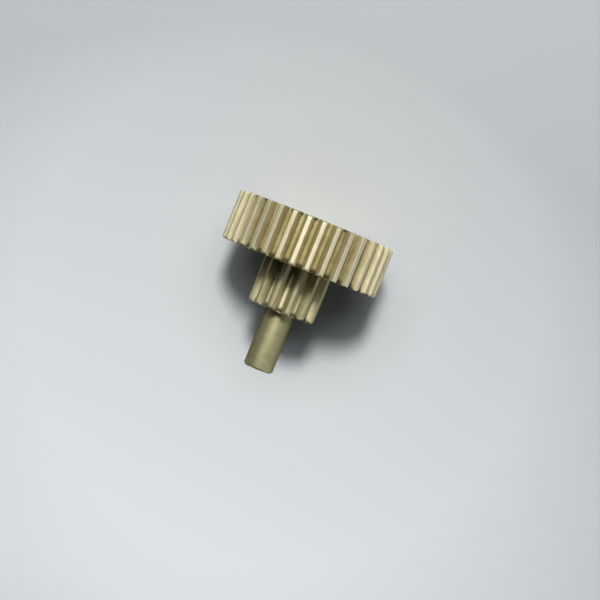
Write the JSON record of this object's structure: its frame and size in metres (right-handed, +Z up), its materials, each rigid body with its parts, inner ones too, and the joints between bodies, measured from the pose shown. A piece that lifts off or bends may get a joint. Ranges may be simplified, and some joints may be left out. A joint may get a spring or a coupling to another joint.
{
  "type": "compound spur gear",
  "caption": "Brass compound spur gear: a wide straight-toothed wheel and a smaller pinion pressed on a short shaft whose plain chamfered journal stands out of the pinion.",
  "frame": {"origin": "on the gear axis, at the shoulder where the free journal leaves the pinion's end face", "axes": "Y is the gear axis: the journal points to -Y, and the pinion and then the wheel lie towards +Y. +Z is up, through a tooth gap of the wheel, and +X goes through a wheel tooth."},
  "size_m": [0.0216, 0.021, 0.0216],
  "materials": {
    "wheel_brass": "machined, dull yellow brass with bright tooth tips",
    "pinion_brass": "machined, paler brass",
    "shaft_brass": "turned, pale brass with fine marks round it"
  },
  "bodies": {
    "root": {"gear_wheel": "wheel_brass", "pinion": "pinion_brass", "shaft": "shaft_brass"}
  },
  "joints": []
}
